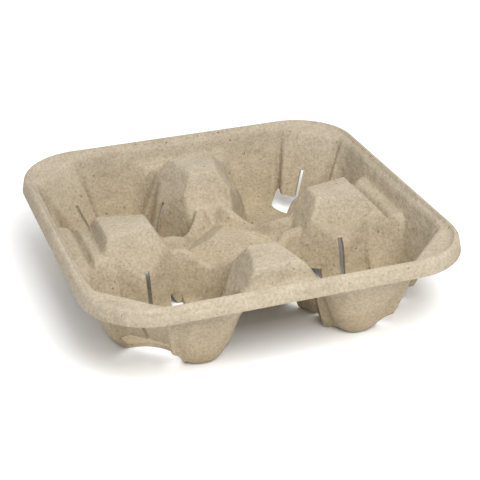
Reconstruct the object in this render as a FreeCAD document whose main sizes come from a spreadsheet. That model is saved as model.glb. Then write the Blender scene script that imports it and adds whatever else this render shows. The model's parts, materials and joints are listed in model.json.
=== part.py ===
import FreeCAD, Part
import math
import os

import Sketcher

# A cup carrier moulded in one piece from paper pulp, for four cups.
# The middle of its foot plane is the origin, +Z is up, millimetres.
# The carrier is a sheet of even thickness. It is made as the difference of two solid forms:
# one whose top is the sheet's upper face, and one whose top is its lower face.
# One quarter is built, mirrored twice and joined, because the four seats are alike.

doc = FreeCAD.newDocument("CupCarrier")
sheet = doc.addObject("Spreadsheet::Sheet", "Sizes")

sizes = [
    ("rim_side", 212.0, "side of the square crest of the rim"),
    ("rim_corner", 37.6, "corner radius of the rim"),
    ("tray_height", 50.0, "from the feet to the crest of the rim"),
    ("wall", 2.2, "thickness of the pulp"),
    ("lip_flare", 2.0, "how far the hanging lip leans out"),
    ("lip_drop", 8.7, "height of the hanging lip"),
    ("ledge_width", 5.5, "flat ledge between crest and basin"),
    ("ledge_drop", 2.8, "from the crest down to the post tops"),
    ("corner_web", 23.3, "how far the flat web reaches in at each corner"),
    ("side_lean", 0.335, "inward lean of the side walls per unit of height"),
    ("corner_lean", 0.44, "inward lean of the corner walls per unit of height"),
    ("foot_inset", 2.4, "how far the foot edge is drawn in"),
    ("foot_rise", 6.0, "height of the drawn-in foot edge"),
    ("waist_level", 25.0, "height of the widest part of the posts"),
    ("post_gap", 23.1, "from the basin edge to the post top"),
    ("post_length", 26.8, "length of the post top"),
    ("post_inner_half", 8.0, "half width of the post top at its inner end"),
    ("post_outer_half", 13.7, "half width of the post top at its outer end"),
    ("post_root", 39.5, "from the middle to the post's inner foot"),
    ("arm_half", 14.5, "half width of the arm that joins hub and post"),
    ("ridge_reach", 25.5, "half width of the post at its ridge, at the waist"),
    ("ridge_spread", 5.0, "how much the ridge widens from waist to foot"),
    ("ridge_place", 58.5, "from the middle to the ridge"),
    ("hub_level", 24.0, "height of the dish in the middle"),
    ("hub_lip_rise", 4.0, "height of the lip round the dish"),
    ("hub_lip_width", 5.6, "width of the lip round the dish"),
    ("seat_place", 46.0, "from the middle to the axis of the hub side of a seat"),
    ("seat_radius", 30.0, "radius of the hub side of a seat, at its foot"),
    ("seat_lean", 0.33, "how much that radius grows per unit of height"),
    ("shelf_level", 36.0, "height of the shelf behind a post"),
    ("shelf_width", 5.0, "width of the shelf behind a post"),
    ("channel_level", 29.0, "height of the channel between shelf and side wall"),
    ("saddle_half", 18.0, "half width of the saddle at the post"),
    ("slit_width", 3.2, "width of the slit in a post's ridge"),
    ("slit_top", 27.5, "top of the slits"),
    ("slit_foot", 6.5, "foot of the slits"),
    ("notch_place", 78.0, "from the middle to the axis of a corner notch"),
    ("notch_radius", 22.5, "radius of a corner notch in the floor"),
    ("notch_rise", 6.5, "height up to which the corner wall is cut away"),
    ("vent_length", 5.5, "length of the vents at the foot of the posts"),
    ("vent_width", 5.0, "width of those vents"),
    ("vent_place", 46.0, "from the middle to a vent, along the arm"),
]
for row, (name, value, meaning) in enumerate(sizes, start=1):
    sheet.set("A%d" % row, name)
    sheet.set("B%d" % row, str(value))
    sheet.set("C%d" % row, meaning)
    sheet.setAlias("B%d" % row, name)
doc.recompute()


def cells(formula):
    """Put the sheet's name before each of its aliases in a formula."""
    words = "".join(c if c.isalnum() or c == "_" else " " for c in formula).split()
    known = {name for name, value, meaning in sizes}
    for word in sorted(set(words) & known, key=len, reverse=True):
        formula = replace_word(formula, word, "Sizes." + word)
    return formula


def replace_word(text, word, new):
    """Replace a whole word, so wall doesn't change side_wall."""
    out, start = "", 0
    while True:
        at = text.find(word, start)
        if at < 0:
            return out + text[start:]
        before = text[at - 1] if at else " "
        after = text[at + len(word)] if at + len(word) < len(text) else " "
        whole = not (before.isalnum() or before in "_.") and not (after.isalnum() or after == "_")
        out += text[start:at] + (new if whole else word)
        start = at + len(word)


def bind(item, **formulas):
    """Bind properties of an object to formulas of the sheet's sizes."""
    for name, formula in formulas.items():
        item.setExpression(name.replace("__", "."), cells(formula))
    return item


def place(item, x="0", y="0", z="0", axis=(0, 0, 1), angle=0):
    """Turn an object about an axis through its own origin, then bind where it stands."""
    item.Placement = FreeCAD.Placement(FreeCAD.Vector(), FreeCAD.Rotation(FreeCAD.Vector(*axis), angle))
    return bind(item, Placement__Base__x=x, Placement__Base__y=y, Placement__Base__z=z)


def box(name, length, width, height, **where):
    item = bind(doc.addObject("Part::Box", name), Length=length, Width=width, Height=height)
    return place(item, **where)


def cylinder(name, radius, height, **where):
    item = bind(doc.addObject("Part::Cylinder", name), Radius=radius, Height=height)
    return place(item, **where)


def cone(name, foot, top, height, **where):
    item = bind(doc.addObject("Part::Cone", name), Radius1=foot, Radius2=top, Height=height)
    return place(item, **where)


def joined(name, pieces):
    item = doc.addObject("Part::MultiFuse", name)
    item.Shapes = pieces
    return item


def cut(name, base, tool):
    item = doc.addObject("Part::Cut", name)
    item.Base = base
    item.Tool = tool
    return item


def common(name, pieces):
    item = doc.addObject("Part::MultiCommon", name)
    item.Shapes = pieces
    return item


def mirrored(name, source, normal):
    item = doc.addObject("Part::Mirroring", name)
    item.Source = source
    item.Normal = FreeCAD.Vector(*normal)
    return item


def outline(name, corners, level="0"):
    """A closed polygon in a level plane, whose corners are bound to pairs of formulas."""
    sketch = doc.addObject("Sketcher::SketchObject", name)
    place(sketch, z=level)
    count = len(corners)
    start = []
    for k in range(count):
        turn = 2 * math.pi * k / count - 3 * math.pi / 4
        start.append(FreeCAD.Vector(55 + 40 * math.cos(turn), 55 + 40 * math.sin(turn), 0))
    for k in range(count):
        sketch.addGeometry(Part.LineSegment(start[k], start[(k + 1) % count]), False)
    for k in range(count):
        sketch.addConstraint(Sketcher.Constraint("Coincident", k, 2, (k + 1) % count, 1))
    for k, (x, y) in enumerate(corners):
        across = sketch.addConstraint(Sketcher.Constraint("DistanceX", -1, 1, k, 1, start[k].x))
        sketch.setExpression("Constraints[%d]" % across, cells(x))
        along = sketch.addConstraint(Sketcher.Constraint("DistanceY", -1, 1, k, 1, start[k].y))
        sketch.setExpression("Constraints[%d]" % along, cells(y))
    return sketch


def loft(name, sections):
    item = doc.addObject("Part::Loft", name)
    item.Sections = sections
    item.Solid = True
    item.Ruled = True
    return item


# Formulas used in several places
rim_half = "(rim_side / 2)"
basin_half = "(rim_side / 2 - ledge_width)"
recess_level = "(tray_height - ledge_drop)"
corner_wall = "(basin_half * 1.41421 - corner_web)".replace("basin_half", basin_half)
post_outer = "(basin_half - post_gap)".replace("basin_half", basin_half)
post_inner = "(basin_half - post_gap - post_length)".replace("basin_half", basin_half)


def side_wall(level):
    """Distance of a side wall from the middle, at a level."""
    return "(%s - side_lean * (%s - %s))" % (basin_half, recess_level, level)


def corner_sum(level):
    """x + y on a corner wall, at a level."""
    return "(1.41421 * (%s - corner_lean * (%s - %s)))" % (corner_wall, recess_level, level)


def seat_arc(level, turn):
    """A point on the hub side of a seat, turned from the line to the next seat."""
    radius = "(seat_radius + seat_lean * (%s - foot_rise - wall))" % level
    return ("(seat_place - %s * %.4f)" % (radius, math.sin(math.radians(turn))),
            "(seat_place - %s * %.4f)" % (radius, math.cos(math.radians(turn))))


def seat_corners(level, arm, ridge, back, saddle, inset, skin):
    """Corners of a seat's outline at one level: hub, arm, ridge, back of the post, side wall, corner wall.

    Each corner is given with the direction in which it moves when the sheet's thickness is added.
    """
    wall_x = "(%s - %s)" % (side_wall(level), inset)
    hub = seat_arc(level, 45)
    neck = seat_arc(level, 24)
    half = [
        (neck[0], neck[1], -0.35, -0.95),
        (arm[0], arm[1], 0.25, -1.0),
        (ridge[0], ridge[1], 0.1, -1.12),
        (back[0], back[1], -0.07, -1.05),
        (wall_x, saddle, 1.05, -0.77),
        (wall_x, "(%s - %s - %s)" % (corner_sum(level), wall_x, inset), 1.05, 0.45),
    ]
    full = [(hub[0], hub[1], -0.75, -0.75)] + half + [(y, x, dy, dx) for x, y, dx, dy in reversed(half)]
    return [("%s + %.2f * %s" % (x, dx, skin), "%s + %.2f * %s" % (y, dy, skin)) for x, y, dx, dy in full]


def seat(tag, skin):
    """The hollow of one seat, from the floor to the post tops."""
    floor, foot, waist, top = "wall", "(wall + foot_rise)", "waist_level", recess_level
    ridge_low = "(ridge_reach + ridge_spread)"
    low = seat_corners(floor,
                       arm=("(post_root + 5.5)", "(arm_half + 6.5)"),
                       ridge=("ridge_place", "(%s + 1.5)" % ridge_low),
                       back=("(%s - 3)" % post_outer, "(saddle_half + 9.5)"),
                       saddle="(saddle_half + 12)", inset="foot_inset", skin=skin)
    heel = seat_corners(foot,
                        arm=("(post_root + 4)", "(arm_half + 5)"),
                        ridge=("ridge_place", ridge_low),
                        back=("(%s - 2)" % post_outer, "(saddle_half + 8)"),
                        saddle="(saddle_half + 11)", inset="0", skin=skin)
    middle = seat_corners(waist,
                          arm=("post_root", "arm_half"),
                          ridge=("ridge_place", "ridge_reach"),
                          back=("(%s + 1)" % post_outer, "saddle_half"),
                          saddle="(saddle_half + 4)", inset="0", skin=skin)
    # The post top widens evenly from its inner to its outer end
    share = "((ridge_place + 2.5 - %s) / post_length)" % post_inner
    crown = seat_corners(top,
                         arm=(post_inner, "post_inner_half"),
                         ridge=("(ridge_place + 2.5)",
                                "(post_inner_half + (post_outer_half - post_inner_half) * %s)" % share),
                         back=(post_outer, "post_outer_half"),
                         saddle="(post_outer_half + 4)", inset="0", skin=skin)
    levels = ["%s - %s" % (floor, skin), foot, waist, top]
    sections = []
    for k, (corners, level) in enumerate(zip([low, heel, middle, crown], levels)):
        sections.append(outline("seat_outline_%s_%d" % (tag, k), corners, level))
    return loft("seat_" + tag, sections)


def saddle(tag, skin):
    """The hollow behind the post on +X: post's end face, shelf, channel and side wall, in one profile."""
    end_low = "(%s + 4.5)" % post_outer
    shelf_end = "(%s + 4.5 + shelf_width)" % post_outer
    profile = [
        ("%s - %s" % (post_outer, skin), recess_level),
        ("%s - %s" % (end_low, skin), "shelf_level - %s" % skin),
        ("%s - %s" % (shelf_end, skin), "shelf_level - %s" % skin),
        ("%s + 1.5 - %s" % (shelf_end, skin), "channel_level - %s" % skin),
        ("%s + %s" % (side_wall("channel_level"), skin), "channel_level - %s" % skin),
        ("%s + %s" % (side_wall(recess_level), skin), recess_level),
    ]
    sketch = outline("saddle_profile_" + tag, profile)
    sketch.Placement = FreeCAD.Placement(FreeCAD.Vector(), FreeCAD.Rotation(FreeCAD.Vector(1, 0, 0), 90))
    item = doc.addObject("Part::Extrusion", "saddle_" + tag)
    item.Base = sketch
    item.DirMode = "Custom"
    item.Dir = FreeCAD.Vector(0, 1, 0)
    item.Solid = True
    bind(item, LengthFwd="saddle_half + 6")
    return item


def mass(tag, skin):
    """A solid quarter whose top lies a skin below the carrier's upper face."""
    straight = "(rim_side / 2 - rim_corner)"
    depth = "(tray_height + 20)"
    flare = "(lip_flare / lip_drop * %s)" % depth
    corner = cone("rim_corner_" + tag, "rim_corner - %s + %s" % (skin, flare), "rim_corner - %s" % skin, depth,
                  x=straight, y=straight, z="-20 - %s" % skin)
    # A wedge has its length along its own Y, so it is turned to stand along Z
    sides = []
    for name, across, along in (("rim_x_", "x", "z"), ("rim_y_", "z", "x")):
        item = doc.addObject("Part::Wedge", name + tag)
        item.Placement = FreeCAD.Placement(FreeCAD.Vector(), FreeCAD.Rotation(FreeCAD.Vector(1, 0, 0), 90))
        sides.append(item)
    edge = "(%s - %s)" % (rim_half, skin)
    for item, swapped in zip(sides, (False, True)):
        bind(item, Ymin="-20 - %s" % skin, Ymax="tray_height - %s" % skin)
        wide = (edge + " + " + flare, edge)
        narrow = (straight, straight)
        x_low, x_top = narrow if swapped else wide
        z_low, z_top = wide if swapped else narrow
        # Turned by a quarter about X, the wedge's own Z runs towards -Y
        bind(item, Xmin="0", Xmax=x_low, X2min="0", X2max=x_top)
        bind(item, Zmin="-" + "(%s)" % z_low, Zmax="0", Z2min="-" + "(%s)" % z_top, Z2max="0")
    block = joined("block_" + tag, [corner] + sides)
    if skin != "0":
        below = box("below_" + tag, "rim_side", "rim_side", "(tray_height - lip_drop + 40)", z="-40")
        block = joined("block_with_base_" + tag, [block, below])
    # The recess inside the ledge is a square with its corners cut by a turned square
    square = box("recess_square_" + tag, "%s + %s" % (basin_half, skin), "%s + %s" % (basin_half, skin), "ledge_drop + 5",
                 z="%s - %s" % (recess_level, skin))
    turned = box("recess_turned_" + tag, "%s + %s" % (corner_wall, skin), "2 * rim_side", "ledge_drop + 5",
                 x="rim_side / 1.41421", y="-rim_side / 1.41421", z="%s - %s" % (recess_level, skin), angle=45)
    recess = common("recess_" + tag, [square, turned])
    dish = doc.addObject("Part::Wedge", "dish_" + tag)
    dish.Placement = FreeCAD.Placement(FreeCAD.Vector(), FreeCAD.Rotation(FreeCAD.Vector(1, 0, 0), 90))
    low, high = "(post_root + %s)" % skin, "(%s + %s)" % (post_inner, skin)
    bind(dish, Ymin="hub_level - %s" % skin, Ymax=recess_level)
    bind(dish, Xmin="0", Xmax=low, X2min="0", X2max=high)
    bind(dish, Zmin="-" + low, Zmax="0", Z2min="-" + high, Z2max="0")
    saddle_x = saddle(tag, skin)
    saddle_y = mirrored("saddle_across_" + tag, saddle_x, (1, -1, 0))
    opened = cut("opened_" + tag, block, joined("openings_" + tag, [recess, dish, saddle_x, saddle_y]))
    lip_radius = "(seat_radius + seat_lean * (hub_level - foot_rise) + hub_lip_width - %s)" % skin
    lip = cone("hub_lip_" + tag, "%s + 4" % lip_radius, lip_radius, "hub_lip_rise + 4",
               x="seat_place", y="seat_place", z="hub_level - 4 - %s" % skin)
    return cut("mass_" + tag, joined("lipped_" + tag, [opened, lip]), seat(tag, skin))


upper = mass("upper", "0")
lower = mass("lower", "wall")
doc.recompute()
quarter = cut("sheet_quarter", upper, lower)

# Openings: a slit in each ridge, a slit and a notch at the corner, vents at the foot of the posts
slit_reach = "(ridge_reach - 8)"
slit_x = box("slit_x", "slit_width", "ridge_spread + 16", "slit_top - slit_foot",
             x="ridge_place - slit_width / 2", y=slit_reach, z="slit_foot")
slit_y = mirrored("slit_y", slit_x, (1, -1, 0))
corner_slit = box("corner_slit", "20", "slit_width * 0.8", "slit_top - slit_foot + 1",
                  x="(%s - 25 + slit_width * 0.4) / 1.41421" % corner_wall,
                  y="(%s - 25 - slit_width * 0.4) / 1.41421" % corner_wall,
                  z="slit_foot - 3.5", angle=45)
notch = cylinder("notch", "notch_radius", "notch_rise + 1", x="notch_place", y="notch_place", z="-1")
vent_x = box("vent_x", "vent_length", "vent_width", "9",
             x="vent_place - vent_length / 2", y="arm_half + 7 - vent_width / 2", z="-1")
vent_y = mirrored("vent_y", vent_x, (1, -1, 0))
pierced = cut("pierced_quarter", quarter, joined("piercings", [slit_x, slit_y, corner_slit, notch, vent_x, vent_y]))

# The four quarters
half = joined("half", [pierced, mirrored("other_quarter", pierced, (1, 0, 0))])
carrier = joined("cup_carrier", [half, mirrored("other_half", half, (0, 1, 0))])
carrier.Refine = True
carrier.Label = "cup_carrier"
doc.recompute()

for item in doc.Objects:
    if "Invalid" in item.State or "Error" in item.State:
        raise RuntimeError("%s was not computed" % item.Label)
solid = carrier.Shape
if solid.isNull() or not solid.isValid() or len(solid.Solids) != 1:
    raise RuntimeError("the carrier is not one valid solid")

os.makedirs("parts", exist_ok=True)
for node in [carrier]:
    node.Shape.exportStep("parts/%s.step" % node.Label)
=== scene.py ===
# %% [markdown]
# # A moulded pulp cup carrier
#
# The carrier is one sheet of paper pulp, about two millimetres thick, pressed wet over a mould and dried.
# Its upper face is a height above the table at every place, so it can be worked out as a function of two
# parameters. Its lower face is the same function again, with every slope sunk by the thickness of the
# sheet. Between them runs the lip that hangs from the rim. The result is one closed mesh.

# %% Setup
import json
import math

import bmesh
import bpy
import numpy as np
from mathutils import Matrix, Vector

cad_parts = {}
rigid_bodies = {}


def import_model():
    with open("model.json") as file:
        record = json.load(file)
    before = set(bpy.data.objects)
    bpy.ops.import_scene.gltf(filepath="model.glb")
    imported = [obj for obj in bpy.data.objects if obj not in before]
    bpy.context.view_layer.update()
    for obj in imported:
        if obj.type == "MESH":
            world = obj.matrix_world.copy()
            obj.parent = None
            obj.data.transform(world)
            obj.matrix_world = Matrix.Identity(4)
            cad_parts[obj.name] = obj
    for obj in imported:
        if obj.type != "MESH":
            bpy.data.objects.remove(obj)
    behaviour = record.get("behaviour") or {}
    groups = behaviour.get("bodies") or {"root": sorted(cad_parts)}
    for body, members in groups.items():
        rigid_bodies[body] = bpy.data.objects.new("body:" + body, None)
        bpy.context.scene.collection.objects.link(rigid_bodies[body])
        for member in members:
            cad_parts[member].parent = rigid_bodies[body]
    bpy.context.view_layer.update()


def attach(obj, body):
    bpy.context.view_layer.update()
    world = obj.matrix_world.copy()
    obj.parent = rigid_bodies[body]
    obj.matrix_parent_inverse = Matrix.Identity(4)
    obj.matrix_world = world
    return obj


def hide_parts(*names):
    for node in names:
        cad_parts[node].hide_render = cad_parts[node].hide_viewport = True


# Blender starts with a cube, a lamp and a camera, which would be taken for parts of this scene
for item in list(bpy.data.objects):
    bpy.data.objects.remove(item, do_unlink=True)
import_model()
MM = 0.001

# %% [markdown]
# ## Sizes
#
# All sizes are in millimetres. Heights are measured from the table. A place on the carrier is given by
# `along`, its distance from the middle along the nearest post, and `across`, its distance from that
# post's middle line. The carrier is the same on all four sides, so this one description serves for each
# of them. A lean is how far a face moves sideways for each unit of height: a small one is steep.

# %% Sizes
HEIGHT = 50.0  # crest of the rim
SHEET = 2.2  # thickness of the pulp

# Rim, lip and ledge
RIM_HALF, RIM_CORNER = 106.0, 37.6  # half the side of the crest's square, and its corner radius
CREST_RADIUS = 3.0
LIP_DROP, LIP_FLARE = 8.7, 2.0  # how far the lip hangs down and stands out
BEAD_DROP, BEAD_START, BEAD_RUN = 2.0, 2.2, 1.8  # the short fall beside the crest
LEDGE_SLOPE, LEDGE_START, LEDGE_RUN = 0.12, 3.0, 6.0  # the ledge's own slope, beside that fall
LEDGE_DROP = 2.5  # the walls begin this far below the crest
STRIP_DROP, STRIP_RUN = 1.4, 1.6  # a lower strip in the middle of each side of the ledge
STRIP_ALONG, STRIP_HALF, STRIP_END_LEAN = 102.6, 35.0, 1.2  # where that strip ends

# Walls of the basin
BASIN_HALF, SIDE_LEAN = 100.5, 0.335
CORNER_WALL, CORNER_LEAN, PANEL_LEAN = 118.8, 0.44, 0.60  # a corner wall's middle panel leans in further
CREASE_ASIDE, CREASE_SPREAD, CREASE_REACH = 13.0, 0.35, 100.0  # aside at that reach, wider further out
GROOVE, GROOVE_MIDDLE, GROOVE_HALF = 2.5, 1.0, 3.2  # the crease down each side of the panel
WRAP, WRAP_START, WRAP_RUN = 2.5, 2.0, 4.0  # the wall outside a crease stands in by this much
CREASE_FADE = 5.0  # creases grow over this run below the ledge
PANEL_BLEND = 3.0  # the panel goes over into a crease within this run
WALL_BAND, FOOT_BAND = 10.0, 11.0  # rounding between two walls, and at the foot of a wall
PANEL_FOOT_BAND, PANEL_FOOT_END, PANEL_FOOT_RUN = 2.0, 20.0, 5.0  # less rounding under the panel

# Posts
POST_TOP = 47.2
POST_INNER, POST_OUTER = 50.6, 77.4  # where the flat top begins and ends
POST_INNER_HALF, POST_WIDENING = 8.0, 0.213  # half its width at the inner end, and how that grows
INNER_LEAN, OUTER_LEAN, SHIELD_LEAN, FLANK_LEAN = 0.58, 0.41, 0.72, 0.22
SLIT_PLACE, SLIT_WIDTH = 58.5, 2.7
# The steep flanks: level, place along, half width there, and how it widens outwards
FLANKS = ((25.0, 40.0, 15.0, 0.595), (25.0, SLIT_PLACE, 28.2, -0.25), (40.0, 79.0, 18.3, -0.9))

# Hub and seats
HUB_TOP, HUB_VALLEY = 28.4, 18.5
HUB_HALF, HUB_LEAN = 9.0, 1.6  # the roof falls off beyond this distance along the diagonal
HUB_END_LEVEL, HUB_END, HUB_END_LEAN = 30.0, 47.0, 0.25  # the steep end under a post
SEAT_PLACE, SEAT_RADIUS, SEAT_FOOT, SEAT_LEAN = 46.0, 30.0, 8.0, 1 / 3  # radius at the foot's level
SEAT_LIP, SEAT_LIP_RISE, SEAT_LIP_RUN = 22.0, 7.0, 27.0  # lowest on the diagonal, higher at a post
SEAT_LIP_WIDTH, SEAT_LIP_LEAN = 4.6, 0.55

# Saddles between post and side wall
SHELF, SHELF_END, SHELF_LEAN = 38.0, 86.6, 0.5
CHANNEL = 36.8
CREASE_DEPTH, CREASE_ALONG, CREASE_HALF = 2.8, 88.6, 2.4  # between shelf and channel
SADDLE_INNER, SADDLE_INNER_LEAN = 70.0, 0.25  # the steep end inside a post
SADDLE_HALF, SADDLE_LEAN = 17.0, 0.22
SADDLE_GROWTH, LEAN_GROWTH = 4.6, 0.17  # it grows wider and its sides flatter outside the post
GROWTH_START, GROWTH_RUN = 70.5, 6.0
FLARE_START, FLARE_RUN, FLARE = 83.0, 20.0, 0.6  # and wider again towards the wall

# The feet's rounding where ground and ridge meet: more low down, most of all near the side wall
ROUND_ALONG, ROUND_ALONG_RUN = 74.0, 12.0
ROUND_BELOW, ROUND_BELOW_RUN = 38.0, 16.0
BARE_BAND, FOOT_EXTRA, ROUND_EXTRA = 3.0, 2.0, 17.0
print("rim", 2 * RIM_HALF, "mm, height", HEIGHT, "mm")

# %% [markdown]
# ## Soft corners
#
# Pulp can't hold a sharp corner. Where two surfaces meet, the lower or the higher one is taken, and the
# change from one to the other is spread over a band, which leaves a rounded edge. `ease` fades one form
# into another, and `ramp` is the sloping plane that most of the faces are made of.


# %% Soft minimum and maximum
def lower(a, b, band):
    """The smaller of two heights, rounded where they differ by less than the band."""
    share = np.clip(0.5 + 0.5 * (b - a) / band, 0, 1)
    return b + (a - b) * share - band * share * (1 - share)


def higher(a, b, band):
    """The larger of two heights, rounded in the same way."""
    return -lower(-a, -b, band)


def ease(share):
    """A smooth rise from 0 to 1 while the share goes from 0 to 1."""
    share = np.clip(share, 0, 1)
    return share * share * (3 - 2 * share)


def ramp(level, run, lean, skin):
    """A plane at a level where run is 0, which rises by run / lean, sunk by a skin at right angles to it."""
    return level + run / lean - skin * np.sqrt(1 + 1 / lean ** 2)


print("halfway between 0 and 1, ease gives", float(ease(0.5)))

# %% [markdown]
# ## The upper face
#
# The form is put together from planes and one cone: a basin with four side walls and four corner walls,
# four posts with flat sloping sides, a low roof over the hub with a raised lip round each seat, and a
# saddle that joins each post to its side wall. Each function gives a height for a place, sunk by a skin:
# 0 for the upper face and the thickness of the sheet for the lower one.


# %% Height of the sheet
def bead(along, across):
    """How far the ledge lies below the crest: a short eased fall, then a slight slope inwards.

    Both go by the inset, which is the distance inside the rounded square of the crest."""
    bend = RIM_HALF - RIM_CORNER
    from_corner = RIM_CORNER - np.hypot(np.clip(along - bend, 0, None), np.clip(across - bend, 0, None))
    inset = np.where(across > bend, from_corner, RIM_HALF - along)
    fall = BEAD_DROP * ease((inset - BEAD_START) / BEAD_RUN)
    return fall + LEDGE_SLOPE * np.clip(inset - LEDGE_START, 0, LEDGE_RUN)


def corner_wall(outward, aside, skin):
    """A corner wall, from the distance outward on the diagonal and aside from it.

    The panel is a plane. Outside the creases there is a steeper plane, moved out by the groove in a crease
    and in by the wrap beyond it. The one goes over into the other at the inner edge of the crease."""
    level = HEIGHT - LEDGE_DROP
    from_crease = aside - CREASE_ASIDE - CREASE_SPREAD * (outward - CREASE_REACH)
    groove = GROOVE * ease(1.0 - np.abs(from_crease - GROOVE_MIDDLE) / GROOVE_HALF)
    fold = groove - WRAP * ease((from_crease - WRAP_START) / WRAP_RUN)
    fold = fold * ease((CORNER_WALL - outward) / CREASE_FADE)
    wrap = ramp(level, outward - CORNER_WALL - fold, CORNER_LEAN, skin)
    panel = ramp(level, outward - CORNER_WALL, PANEL_LEAN, skin)
    return panel + (wrap - panel) * ease((from_crease + PANEL_BLEND / 2) / PANEL_BLEND)


def basin(along, across, skin):
    """Floor, side wall, corner wall and ledge: the highest of floor and walls, but never above the ledge."""
    outward = (along + across) / math.sqrt(2)
    aside = (along - across) / math.sqrt(2)
    side = ramp(HEIGHT - LEDGE_DROP, along - BASIN_HALF, SIDE_LEAN, skin)
    wall = higher(side, corner_wall(outward, aside, skin), WALL_BAND)
    # The foot of a wall is round, but under the panel, where the floor ends at a notch, it is nearly sharp
    under_panel = ease((PANEL_FOOT_END - aside) / PANEL_FOOT_RUN)
    form = higher(wall, SHEET - skin, FOOT_BAND - (FOOT_BAND - PANEL_FOOT_BAND) * under_panel)
    # The middle of each side has a lower strip along the inner edge of the ledge
    strip_end = ramp(0.0, STRIP_HALF - across, STRIP_END_LEAN, 0)
    strip = lower(ramp(0.0, STRIP_ALONG - along, 1.0, 0), strip_end, 1.0)
    ledge = HEIGHT - STRIP_DROP * ease(strip / STRIP_RUN) - skin - bead(along, across)
    return lower(form, ledge, 2.0)


def post(along, across, skin):
    """A post: the lowest of a flat top, two end faces, a sloping shield on each side, and steep flanks."""
    width = POST_INNER_HALF + POST_WIDENING * (along - POST_INNER)
    inner = ramp(POST_TOP, along - POST_INNER, INNER_LEAN, skin)
    outer = ramp(POST_TOP, POST_OUTER - along, OUTER_LEAN, skin)
    shield = ramp(POST_TOP, width - across, SHIELD_LEAN, skin)
    first, second, third = (ramp(level, half + widening * (along - place) - across, FLANK_LEAN, skin)
                            for level, place, half, widening in FLANKS)
    crown = lower(lower(POST_TOP - skin, shield, 0.8), lower(inner, outer, 3.0), 0.9)
    return lower(crown, lower(lower(first, second, 4.0), third, 4.0), 2.5)


def hub(along, across, skin):
    """The middle: the higher of a low roof and the lip round a seat, cut off by the seat's wall.

    The wall is part of a cone. The lip follows its upper edge and rises from the diagonal to the post."""
    outward = (along + across) / math.sqrt(2)
    from_seat = np.hypot(along - SEAT_PLACE, across - SEAT_PLACE)
    wall = ramp(SEAT_FOOT, from_seat - SEAT_RADIUS, SEAT_LEAN, skin)
    roof = lower(ramp(HUB_TOP, HUB_HALF - outward, HUB_LEAN, skin), HUB_TOP - skin, 0.6)
    roof = higher(roof, HUB_VALLEY - skin, 1.0)
    lip_level = SEAT_LIP + SEAT_LIP_RISE * ease((along - across) / SEAT_LIP_RUN)
    lip_end = SEAT_RADIUS + (lip_level - SEAT_FOOT) * SEAT_LEAN + SEAT_LIP_WIDTH
    lip = lower(lip_level - skin, ramp(lip_level, lip_end - from_seat, SEAT_LIP_LEAN, skin), 0.8)
    form = lower(higher(roof, lip, 0.8), wall, 1.6)
    return lower(form, ramp(HUB_END_LEVEL, HUB_END - along, HUB_END_LEAN, skin), 2.0)


def saddle(along, across, skin):
    """Between post and side wall: a shelf, a crease, then a slightly lower channel along the wall."""
    shelf = lower(SHELF - skin, ramp(SHELF, SHELF_END - along, SHELF_LEAN, skin), 0.8)
    crease = CREASE_DEPTH * ease(1.0 - np.abs(along - CREASE_ALONG) / CREASE_HALF)
    profile = higher(shelf, CHANNEL - crease - skin, 0.5)
    grow = ease((along - GROWTH_START) / GROWTH_RUN)
    half = SADDLE_HALF + SADDLE_GROWTH * grow + FLARE * np.clip(along - FLARE_START, 0, FLARE_RUN)
    side = ramp(SHELF, half - across, SADDLE_LEAN + LEAN_GROWTH * grow, skin)
    inner = ramp(SHELF, along - SADDLE_INNER, SADDLE_INNER_LEAN, skin)
    return lower(lower(profile, side, 9.0), inner, 2.0)


def uneven(x, y):
    """Slow dents a few tenths of a millimetre deep, as slanting waves, which fade out before the rim."""
    waves = (np.sin(x / 3.1 + 1.3 * np.sin(y / 7.3)) * np.sin(y / 3.7 + 1.1 * np.sin(x / 6.1))
             + np.sin((x + y) / 8.3 + 0.7) * np.sin((x - y) / 9.7 + 2.1))
    fade = ease((101.0 - np.maximum(np.abs(x), np.abs(y))) / 8.0) * ease((124.0 - np.hypot(x, y)) / 8.0)
    return 0.12 * (waves + 2) * fade


def sheet_height(x, y, skin=0.0):
    """Height of the sheet over a place on the table, sunk by a skin.

    Of post, hub, saddle and basin the highest is taken, each step rounded over a band, less the dents."""
    a, b = np.abs(x), np.abs(y)
    along, across = np.maximum(a, b), np.minimum(a, b)
    middle = higher(post(along, across, skin), hub(along, across, skin), 4.0)
    ridge = higher(middle, saddle(along, across, skin), 2.5)
    # The feet at the outer wall have round sides: there the floor runs up into the saddle in a wide curve
    ground = basin(along, across, skin)
    near_wall = ease((along - ROUND_ALONG) / ROUND_ALONG_RUN)
    low_down = ease((ROUND_BELOW - ground) / ROUND_BELOW_RUN)
    height = higher(ground, ridge, BARE_BAND + (FOOT_EXTRA + ROUND_EXTRA * near_wall) * low_down)
    return height - uneven(x, y) * ease(height / 10.0)


print("height in the middle", float(sheet_height(np.array(0.0), np.array(0.0))), "mm")

# %% [markdown]
# ## The net of points
#
# A square net of points is laid over the carrier. Towards the rim it is drawn in at the corners, so that
# its outermost row follows the rounded square of the rim. The lip is a second surface: a profile of a few
# points, carried along that outermost row.


# %% Net and lip
def rounded_square(p, q, half, corner):
    """Place on a rounded square for a place p, q on the edge of the square from -1 to 1.

    The straight parts keep their place. What is left of the side, up to 45 degrees, becomes the arc."""
    straight = half - corner
    x, y = np.abs(p) * half, np.abs(q) * half
    over = np.clip((np.minimum(x, y) - straight) / corner, 0, 1)
    bend = over * math.pi / 4
    long_way = straight + corner * np.cos(bend)
    short_way = np.where(over > 0, straight + corner * np.sin(bend), np.minimum(x, y))
    first = x >= y
    return (np.sign(p) * np.where(first, long_way, short_way),
            np.sign(q) * np.where(first, short_way, long_way))


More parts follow.
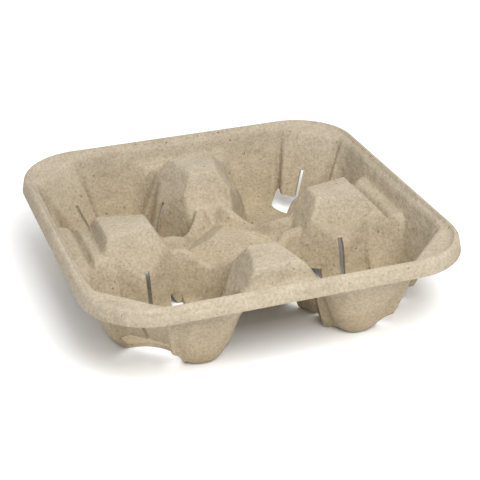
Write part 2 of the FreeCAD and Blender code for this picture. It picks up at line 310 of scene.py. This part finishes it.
def net(count, half, corner):
    """Points of a square net from -1 to 1, taken to a net whose edge is a rounded square.

    Near the middle a point is p, q times the half side. Beyond 0.55 of the way out it moves over to the
    place on the rounded square in its own direction, times how far out it lies."""
    steps = np.linspace(-1, 1, count)
    p, q = np.meshgrid(steps, steps, indexing="ij")
    ring = np.maximum(np.maximum(np.abs(p), np.abs(q)), 1e-9)
    edge_x, edge_y = rounded_square(p / ring, q / ring, half, corner)
    share = ease((ring - 0.55) / 0.45)
    return ((1 - share) * p * half + share * ring * edge_x,
            (1 - share) * q * half + share * ring * edge_y)


def edge_loop(count):
    """Row and column of each point along the edge of a net, once round."""
    last = count - 1
    side = np.arange(last)
    rows = np.concatenate([side, np.full(last, last), last - side, np.zeros(last, int)])
    columns = np.concatenate([np.zeros(last, int), side, np.full(last, last), last - side])
    return rows, columns


def lip_profile(crest_run, lean):
    """The lip's profile from the crest down the outside, round the hem and up the inside.

    Each point is how far outside the net's edge it lies, and its height. On both faces the crest is an arc
    about the same centre. The hem is slightly rounded."""
    centre_z = HEIGHT - CREST_RADIUS
    bends = np.linspace(math.pi / 2, lean, 6)[1:]
    outside, inside = ([(radius * math.cos(t), centre_z + radius * math.sin(t)) for t in bends]
                       for radius in (CREST_RADIUS, CREST_RADIUS - SHEET))
    hem_out, hem_z = crest_run + LIP_FLARE, HEIGHT - LIP_DROP
    middle = [((outside[-1][0] + hem_out) / 2 - 0.1, (outside[-1][1] + hem_z) / 2)]
    hem = [(hem_out + out, hem_z + rise) for out, rise in
           ((-0.25, 0.5), (-0.35, 0.05), (-SHEET * 0.5, 0.0), (0.25 - SHEET, 0.1), (-0.05 - SHEET, 0.7))]
    return np.array(outside + middle + hem + inside[::-1])


def carried(profile, edge_x, edge_y, straight):
    """A profile carried round the rim, one loop of points for each point of the profile.

    Each point of the edge is moved outwards, at right angles to the edge, by the profile's first number, and
    stands at the height that is its second."""
    normal_x = edge_x - np.clip(edge_x, -straight, straight)
    normal_y = edge_y - np.clip(edge_y, -straight, straight)
    length = np.hypot(normal_x, normal_y)
    return np.stack([edge_x + profile[:, :1] * normal_x / length,
                     edge_y + profile[:, :1] * normal_y / length,
                     np.repeat(profile[:, 1:], len(edge_x), axis=1)], axis=-1).reshape(-1, 3)


def net_faces(count, start, flip):
    """Quads of a net whose points are numbered from start."""
    i, j = np.meshgrid(np.arange(count - 1), np.arange(count - 1), indexing="ij")
    a = start + (i * count + j).ravel()
    quads = np.stack([a, a + count, a + count + 1, a + 1], axis=1)
    return quads[:, ::-1] if flip else quads


def strip_faces(loops):
    """Quads between rows of point numbers that each run once round."""
    a, b = loops[:-1], loops[1:]
    return np.stack([a, np.roll(a, -1, axis=1), np.roll(b, -1, axis=1), b], axis=-1).reshape(-1, 4)


def make_object(name, points, quads, smooth=True):
    """A mesh object from arrays of points in millimetres and of quads."""
    mesh = bpy.data.meshes.new(name)
    mesh.vertices.add(len(points))
    mesh.vertices.foreach_set("co", (points * MM).astype(np.float32).ravel())
    mesh.loops.add(quads.size)
    mesh.loops.foreach_set("vertex_index", quads.astype(np.int32).ravel())
    mesh.polygons.add(len(quads))
    mesh.polygons.foreach_set("loop_start", np.arange(0, quads.size, 4, dtype=np.int32))
    mesh.polygons.foreach_set("loop_total", np.full(len(quads), 4, dtype=np.int32))
    mesh.update(calc_edges=True)
    mesh.validate()
    mesh.polygons.foreach_set("use_smooth", np.full(len(mesh.polygons), smooth))
    item = bpy.data.objects.new(name, mesh)
    bpy.context.scene.collection.objects.link(item)
    return item


COUNT = 201
# The crest's arc ends where it meets the leaning lip, so the net stops short of the square by its tangent
lip_lean = math.atan2(LIP_FLARE, LIP_DROP)
crest_run = CREST_RADIUS / math.tan((math.pi / 2 + lip_lean) / 2)
edge_half, edge_corner = RIM_HALF - crest_run, RIM_CORNER - crest_run
net_x, net_y = net(COUNT, edge_half, edge_corner)
upper, under = (np.stack([net_x, net_y, sheet_height(net_x, net_y, skin)], axis=-1).reshape(-1, 3)
                for skin in (0.0, SHEET))
rows, columns = edge_loop(COUNT)
profile = lip_profile(crest_run, lip_lean)
lip = carried(profile, net_x[rows, columns], net_y[rows, columns], edge_half - edge_corner)

# Points are numbered upper face first, then lower face, then the lip from the crest round to the inside
per_face = COUNT * COUNT
edge = rows * COUNT + columns
lip_loops = 2 * per_face + np.arange(len(lip)).reshape(len(profile), len(rows))
lip_quads = strip_faces(np.vstack([edge, lip_loops, per_face + edge]))[:, ::-1]
carrier = make_object("carrier", np.vstack([upper, under, lip]),
                      np.vstack([net_faces(COUNT, 0, False), net_faces(COUNT, per_face, True), lip_quads]))
print("carrier:", len(carrier.data.vertices), "points,", len(carrier.data.polygons), "faces")

# %% [markdown]
# ## Slits, vents and notches
#
# Each post is slit in the middle of both side faces, and each corner wall is slit in its middle, so the
# walls can spring open round a cup. The mould also leaves a round notch in the floor at each corner,
# under the corner wall's panel, and small vents at the foot of the posts. These are cut through the sheet
# with simple solids.

# %% Openings
# Their places along, across and up, and their sizes
SLIT_ACROSS, SLIT_UP, SLIT_LENGTH, SLIT_HEIGHT = 27.0, 13.0, 16.0, 28.0
VENT_ALONG, VENT_ACROSS, VENT_UP, VENT_SIZE = 43.8, 22.5, 3.0, (8.0, 8.0, 10.0)
FRONT_VENT_ALONG = 40.5  # the one at the front of the left post
CORNER_SLIT_OUT, CORNER_SLIT_UP, CORNER_SLIT_SIZE = 99.0, 16.5, (24.0, 2.4, 19.0)
NOTCH_PLACE, NOTCH_RADIUS, NOTCH_TOP_RADIUS = 78.0, 22.5, 17.0
NOTCH_LOW, NOTCH_HIGH, FRONT_NOTCH_HIGH = -3.0, 10.5, 12.5  # the notch at the front left is higher


def block(name, centre, size, turn=0.0):
    """A box as a mesh object, given by its centre and size in millimetres, turned about the vertical."""
    p = np.array([[i, j, k] for i in (-0.5, 0.5) for j in (-0.5, 0.5) for k in (-0.5, 0.5)]) * size
    c, s = math.cos(turn), math.sin(turn)
    p = p @ np.array([[c, s, 0], [-s, c, 0], [0, 0, 1]]) + centre
    quads = np.array([[0, 1, 3, 2], [4, 6, 7, 5], [0, 4, 5, 1], [2, 3, 7, 6], [0, 2, 6, 4], [1, 5, 7, 3]])
    return make_object(name, p, quads, smooth=False)


def drum(name, centre, radius, top_radius, low_z, high_z, count=72):
    """An upright drum that narrows above the floor; its ends are rings of quads round a small middle."""
    turn = np.arange(count) * 2 * math.pi / count
    radii = np.array([0.02, radius, radius, top_radius, 0.02])
    heights = np.array([low_z, low_z, SHEET, high_z, high_z])
    p = np.stack([centre[0] + radii[:, None] * np.cos(turn), centre[1] + radii[:, None] * np.sin(turn),
                  np.repeat(heights[:, None], count, axis=1)], axis=-1).reshape(-1, 3)
    item = make_object(name, p, strip_faces(np.arange(5 * count).reshape(5, count)), smooth=False)
    solid = bmesh.new()
    solid.from_mesh(item.data)
    bmesh.ops.holes_fill(solid, edges=[e for e in solid.edges if e.is_boundary], sides=0)
    bmesh.ops.recalc_face_normals(solid, faces=solid.faces)
    solid.to_mesh(item.data)
    solid.free()
    return item


def cut_away(piece, solids):
    """Subtract solids that don't overlap each other from a piece, and remove them."""
    bpy.ops.object.select_all(action="DESELECT")
    for item in solids:
        item.select_set(True)
    bpy.context.view_layer.objects.active = solids[0]
    bpy.ops.object.join()
    knife = bpy.context.view_layer.objects.active
    cut = piece.modifiers.new("openings", "BOOLEAN")
    cut.operation = "DIFFERENCE"
    cut.solver = "MANIFOLD"
    cut.object = knife
    bpy.context.view_layer.objects.active = piece
    bpy.ops.object.modifier_apply(modifier=cut.name)
    bpy.data.objects.remove(knife, do_unlink=True)


def cutters_of(i, j):
    """The slits and vents of one quarter, whose signs are i and j, and its notch."""
    front_left = i < 0 and j < 0
    vent_along = FRONT_VENT_ALONG if front_left else VENT_ALONG
    reach = CORNER_SLIT_OUT / math.sqrt(2)
    slit_size = (SLIT_WIDTH, SLIT_LENGTH, SLIT_HEIGHT)
    turned_size = (SLIT_LENGTH, SLIT_WIDTH, SLIT_HEIGHT)
    cutters = [
        # At the post on the x axis, then at the one on the y axis
        block("slit", (i * SLIT_PLACE, j * SLIT_ACROSS, SLIT_UP), slit_size),
        block("vent", (i * vent_along, j * VENT_ACROSS, VENT_UP), VENT_SIZE),
        block("slit", (j * SLIT_ACROSS, i * SLIT_PLACE, SLIT_UP), turned_size),
        block("vent", (j * VENT_ACROSS, i * VENT_ALONG, VENT_UP), VENT_SIZE),
        block("corner_slit", (i * reach, j * reach, CORNER_SLIT_UP), CORNER_SLIT_SIZE, math.atan2(j, i)),
    ]
    notch = drum("notch", (i * NOTCH_PLACE, j * NOTCH_PLACE), NOTCH_RADIUS, NOTCH_TOP_RADIUS,
                 NOTCH_LOW, FRONT_NOTCH_HIGH if front_left else NOTCH_HIGH)
    return cutters, notch


quarters = [cutters_of(i, j) for i in (-1, 1) for j in (-1, 1)]
cut_away(carrier, [item for cutters, notch in quarters for item in cutters])
cut_away(carrier, [notch for cutters, notch in quarters])
carrier.data.polygons.foreach_set("use_smooth", np.ones(len(carrier.data.polygons), bool))
carrier.data.set_sharp_from_angle(angle=math.radians(50))
print("after cutting:", len(carrier.data.polygons), "faces")

# %% [markdown]
# ## Moulded pulp
#
# The material is recycled paper pulp, pressed wet on a mesh mould and dried. It is matt and slightly
# rough, with pale and dark fibres in it. Low down it is painted a little darker and warmer, as painted
# shade for the hollows.


# %% Material
def linear(hexcode):
    """The linear colour of an sRGB hex code."""
    parts = [int(hexcode[k:k + 2], 16) / 255 for k in (1, 3, 5)]
    return tuple(v / 12.92 if v <= 0.04045 else ((v + 0.055) / 1.055) ** 2.4 for v in parts) + (1.0,)


def add(tree, kind, links=(), **settings):
    """Add a node, set its properties and sockets by name, with _ for a space, and link its inputs."""
    node = tree.nodes.new(kind)
    for name, value in settings.items():
        if hasattr(node, name):
            setattr(node, name, value)
        else:
            node.inputs[name.replace("_", " ")].default_value = value
    for name, source in links:
        tree.links.new(source, node.inputs[name])
    return node


def coloured(tree, value, *stops):
    """A colour for a value, by a ramp of stops, each a position and a linear colour."""
    node = add(tree, "ShaderNodeValToRGB", [("Fac", value)])
    elements = node.color_ramp.elements
    while len(elements) < len(stops):
        elements.new(1.0)
    for element, (position, colour) in zip(elements, stops):
        element.position = position
        element.color = colour
    return node.outputs["Color"]


def tinted(tree, colour, factor, strength):
    """A colour multiplied by a factor for each channel, at a strength from 0 to 1."""
    return add(tree, "ShaderNodeMixRGB", [("Color1", colour), ("Color2", factor)],
               blend_type="MULTIPLY", Fac=strength).outputs["Color"]


def pulp():
    """Moulded paper pulp. The ramps after the first hold factors for the colour, not colours."""
    material = bpy.data.materials.new("moulded paper pulp")
    material.use_nodes = True
    tree = material.node_tree
    tree.nodes.clear()
    place = add(tree, "ShaderNodeTexCoord").outputs["Object"]

    def noise(scale, detail, roughness=0.5):
        return add(tree, "ShaderNodeTexNoise", [("Vector", place)],
                   Scale=scale, Detail=detail, Roughness=roughness).outputs["Fac"]

    # Clouds about 25 mm wide: uneven settling of the pulp
    colour = coloured(tree, noise(40.0, 4.0, 0.6), (0.3, linear("#a09583")), (0.7, linear("#b1a694")))
    # Painted shade: the low parts are painted a little darker and warmer than the rim, standing in for the
    # shade in the hollows
    height = add(tree, "ShaderNodeSeparateXYZ", [("Vector", place)]).outputs["Z"]
    level = add(tree, "ShaderNodeMapRange", [("Value", height)], From_Min=10 * MM, From_Max=48 * MM)
    painted_low_shade = coloured(tree, level.outputs["Result"], (0.0, (0.99, 0.945, 0.84, 1)), (1.0, (1, 1, 1, 1)))
    colour = tinted(tree, colour, painted_low_shade, 1.0)
    # Flecks one to three millimetres wide, darker and paler than the rest
    fleck = coloured(tree, noise(640.0, 5.0, 0.75), (0.32, (0.70, 0.66, 0.60, 1)),
                     (0.50, (0.93, 0.92, 0.90, 1)), (0.70, (1.12, 1.12, 1.12, 1)))
    colour = tinted(tree, colour, fleck, 0.95)
    # A few dark specks, a millimetre or less across
    speck = coloured(tree, noise(420.0, 2.0), (0.25, (0.35, 0.27, 0.18, 1)), (0.31, (1, 1, 1, 1)))
    colour = tinted(tree, colour, speck, 0.8)
    # Surface: fine grain, and shallow dents about a centimetre wide
    grain = add(tree, "ShaderNodeBump", [("Height", noise(700.0, 5.0, 0.7))], Strength=0.5, Distance=0.0006)
    dents = add(tree, "ShaderNodeBump", [("Height", noise(130.0, 4.0)), ("Normal", grain.outputs["Normal"])],
                Strength=0.75, Distance=0.002)
    surface = add(tree, "ShaderNodeBsdfPrincipled",
                  [("Base Color", colour), ("Normal", dents.outputs["Normal"])],
                  Roughness=0.9, Specular_IOR_Level=0.2)
    add(tree, "ShaderNodeOutputMaterial", [("Surface", surface.outputs["BSDF"])])
    return material


carrier.data.materials.clear()
carrier.data.materials.append(pulp())
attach(carrier, "root")
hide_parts("cup_carrier")
print("material:", carrier.data.materials[0].name)

# %% [markdown]
# ## Floor and light
#
# The carrier stands on a pale floor under two broad area lights, a key light in front of it and above,
# and a weaker one overhead. The white surround lights it from all sides, a little less strongly than the
# camera sees.


# %% Floor and light
def plain(name, hexcode, roughness):
    """A material of one colour."""
    material = bpy.data.materials.new(name)
    material.use_nodes = True
    shader = material.node_tree.nodes["Principled BSDF"]
    shader.inputs["Base Color"].default_value = linear(hexcode)
    shader.inputs["Roughness"].default_value = roughness
    return material


def area_light(name, direction, distance, size, power, target=(0, 0, 0.03)):
    """A square area light that shines at the carrier from a direction; lengths in metres, power in watts."""
    data = bpy.data.lights.new(name, "AREA")
    data.shape = "SQUARE"
    data.size = size
    data.energy = power
    item = bpy.data.objects.new(name, data)
    way = Vector(direction).normalized()
    item.location = Vector(target) + way * distance
    item.rotation_euler = way.to_track_quat("Z", "Y").to_euler()
    bpy.context.scene.collection.objects.link(item)
    return item


FLOOR_HALF, FLOOR_Z = 3000.0, -0.2
corners = np.array([[-1, -1, 1], [1, -1, 1], [1, 1, 1], [-1, 1, 1]]) * (FLOOR_HALF, FLOOR_HALF, FLOOR_Z)
floor = make_object("floor", corners, np.array([[0, 1, 2, 3]]), smooth=False)
floor.data.materials.append(plain("pale floor", "#fafafa", 0.9))

area_light("key", (0.05, -0.66, 0.78), 0.9, 0.5, 7.0)
area_light("top", (0.0, -0.1, 1.0), 1.2, 0.9, 3.5)

AMBIENT = 0.80
world = bpy.data.worlds.new("white surround")
world.use_nodes = True
tree = world.node_tree
tree.nodes.clear()
# Where the camera sees the surround, directly or in a reflection, it is full white
path = add(tree, "ShaderNodeLightPath")
in_camera, in_gloss, through = (path.outputs["Is " + kind + " Ray"]
                                for kind in ("Camera", "Glossy", "Transmission"))
seen = add(tree, "ShaderNodeMath", [(0, in_camera), (1, in_gloss)], operation="MAXIMUM")
seen = add(tree, "ShaderNodeMath", [(0, seen.outputs[0]), (1, through)], operation="MAXIMUM")
ambient = add(tree, "ShaderNodeBackground", Color=linear("#ffffff"), Strength=AMBIENT)
white = add(tree, "ShaderNodeBackground", Color=linear("#ffffff"), Strength=1.0)
mixed = add(tree, "ShaderNodeMixShader",
            [("Fac", seen.outputs[0]), (1, ambient.outputs[0]), (2, white.outputs[0])])
add(tree, "ShaderNodeOutputWorld", [("Surface", mixed.outputs[0])])
bpy.context.scene.world = world

# %% [markdown]
# ## Camera
#
# The camera's place and lens were fitted to points read off the photo: the rim, the lip, the tops of the
# posts and the feet. It looks down on the carrier from the front, a little from the left, with a long
# lens.

# %% Camera
AZIMUTH, ELEVATION, ROLL = -19.49, 27.23, -0.63     # in degrees
ASIDE, ABOVE, DISTANCE = 0.00522, -0.0226, 0.7607   # in metres, from the middle of the rim's plane
LENS, SENSOR = 98.75, 36.0

azimuth, elevation, roll = (math.radians(v) for v in (AZIMUTH, ELEVATION, ROLL))
back = Vector((math.sin(azimuth) * math.cos(elevation), -math.cos(azimuth) * math.cos(elevation),
               math.sin(elevation)))
level_right = Vector((math.cos(azimuth), math.sin(azimuth), 0.0))
level_up = back.cross(level_right)
right = math.cos(roll) * level_right + math.sin(roll) * level_up
up = -math.sin(roll) * level_right + math.cos(roll) * level_up
eye = Vector((0, 0, HEIGHT * MM)) + ASIDE * right + ABOVE * up + DISTANCE * back
camera_data = bpy.data.cameras.new("camera")
camera_data.lens = LENS
camera_data.sensor_width = SENSOR
camera = bpy.data.objects.new("camera", camera_data)
camera.matrix_world = Matrix.Translation(eye) @ Matrix((right, up, back)).transposed().to_4x4()
scene = bpy.context.scene
scene.collection.objects.link(camera)
scene.camera = camera
scene.view_settings.view_transform = "Standard"
print("camera at", [round(v, 3) for v in eye])
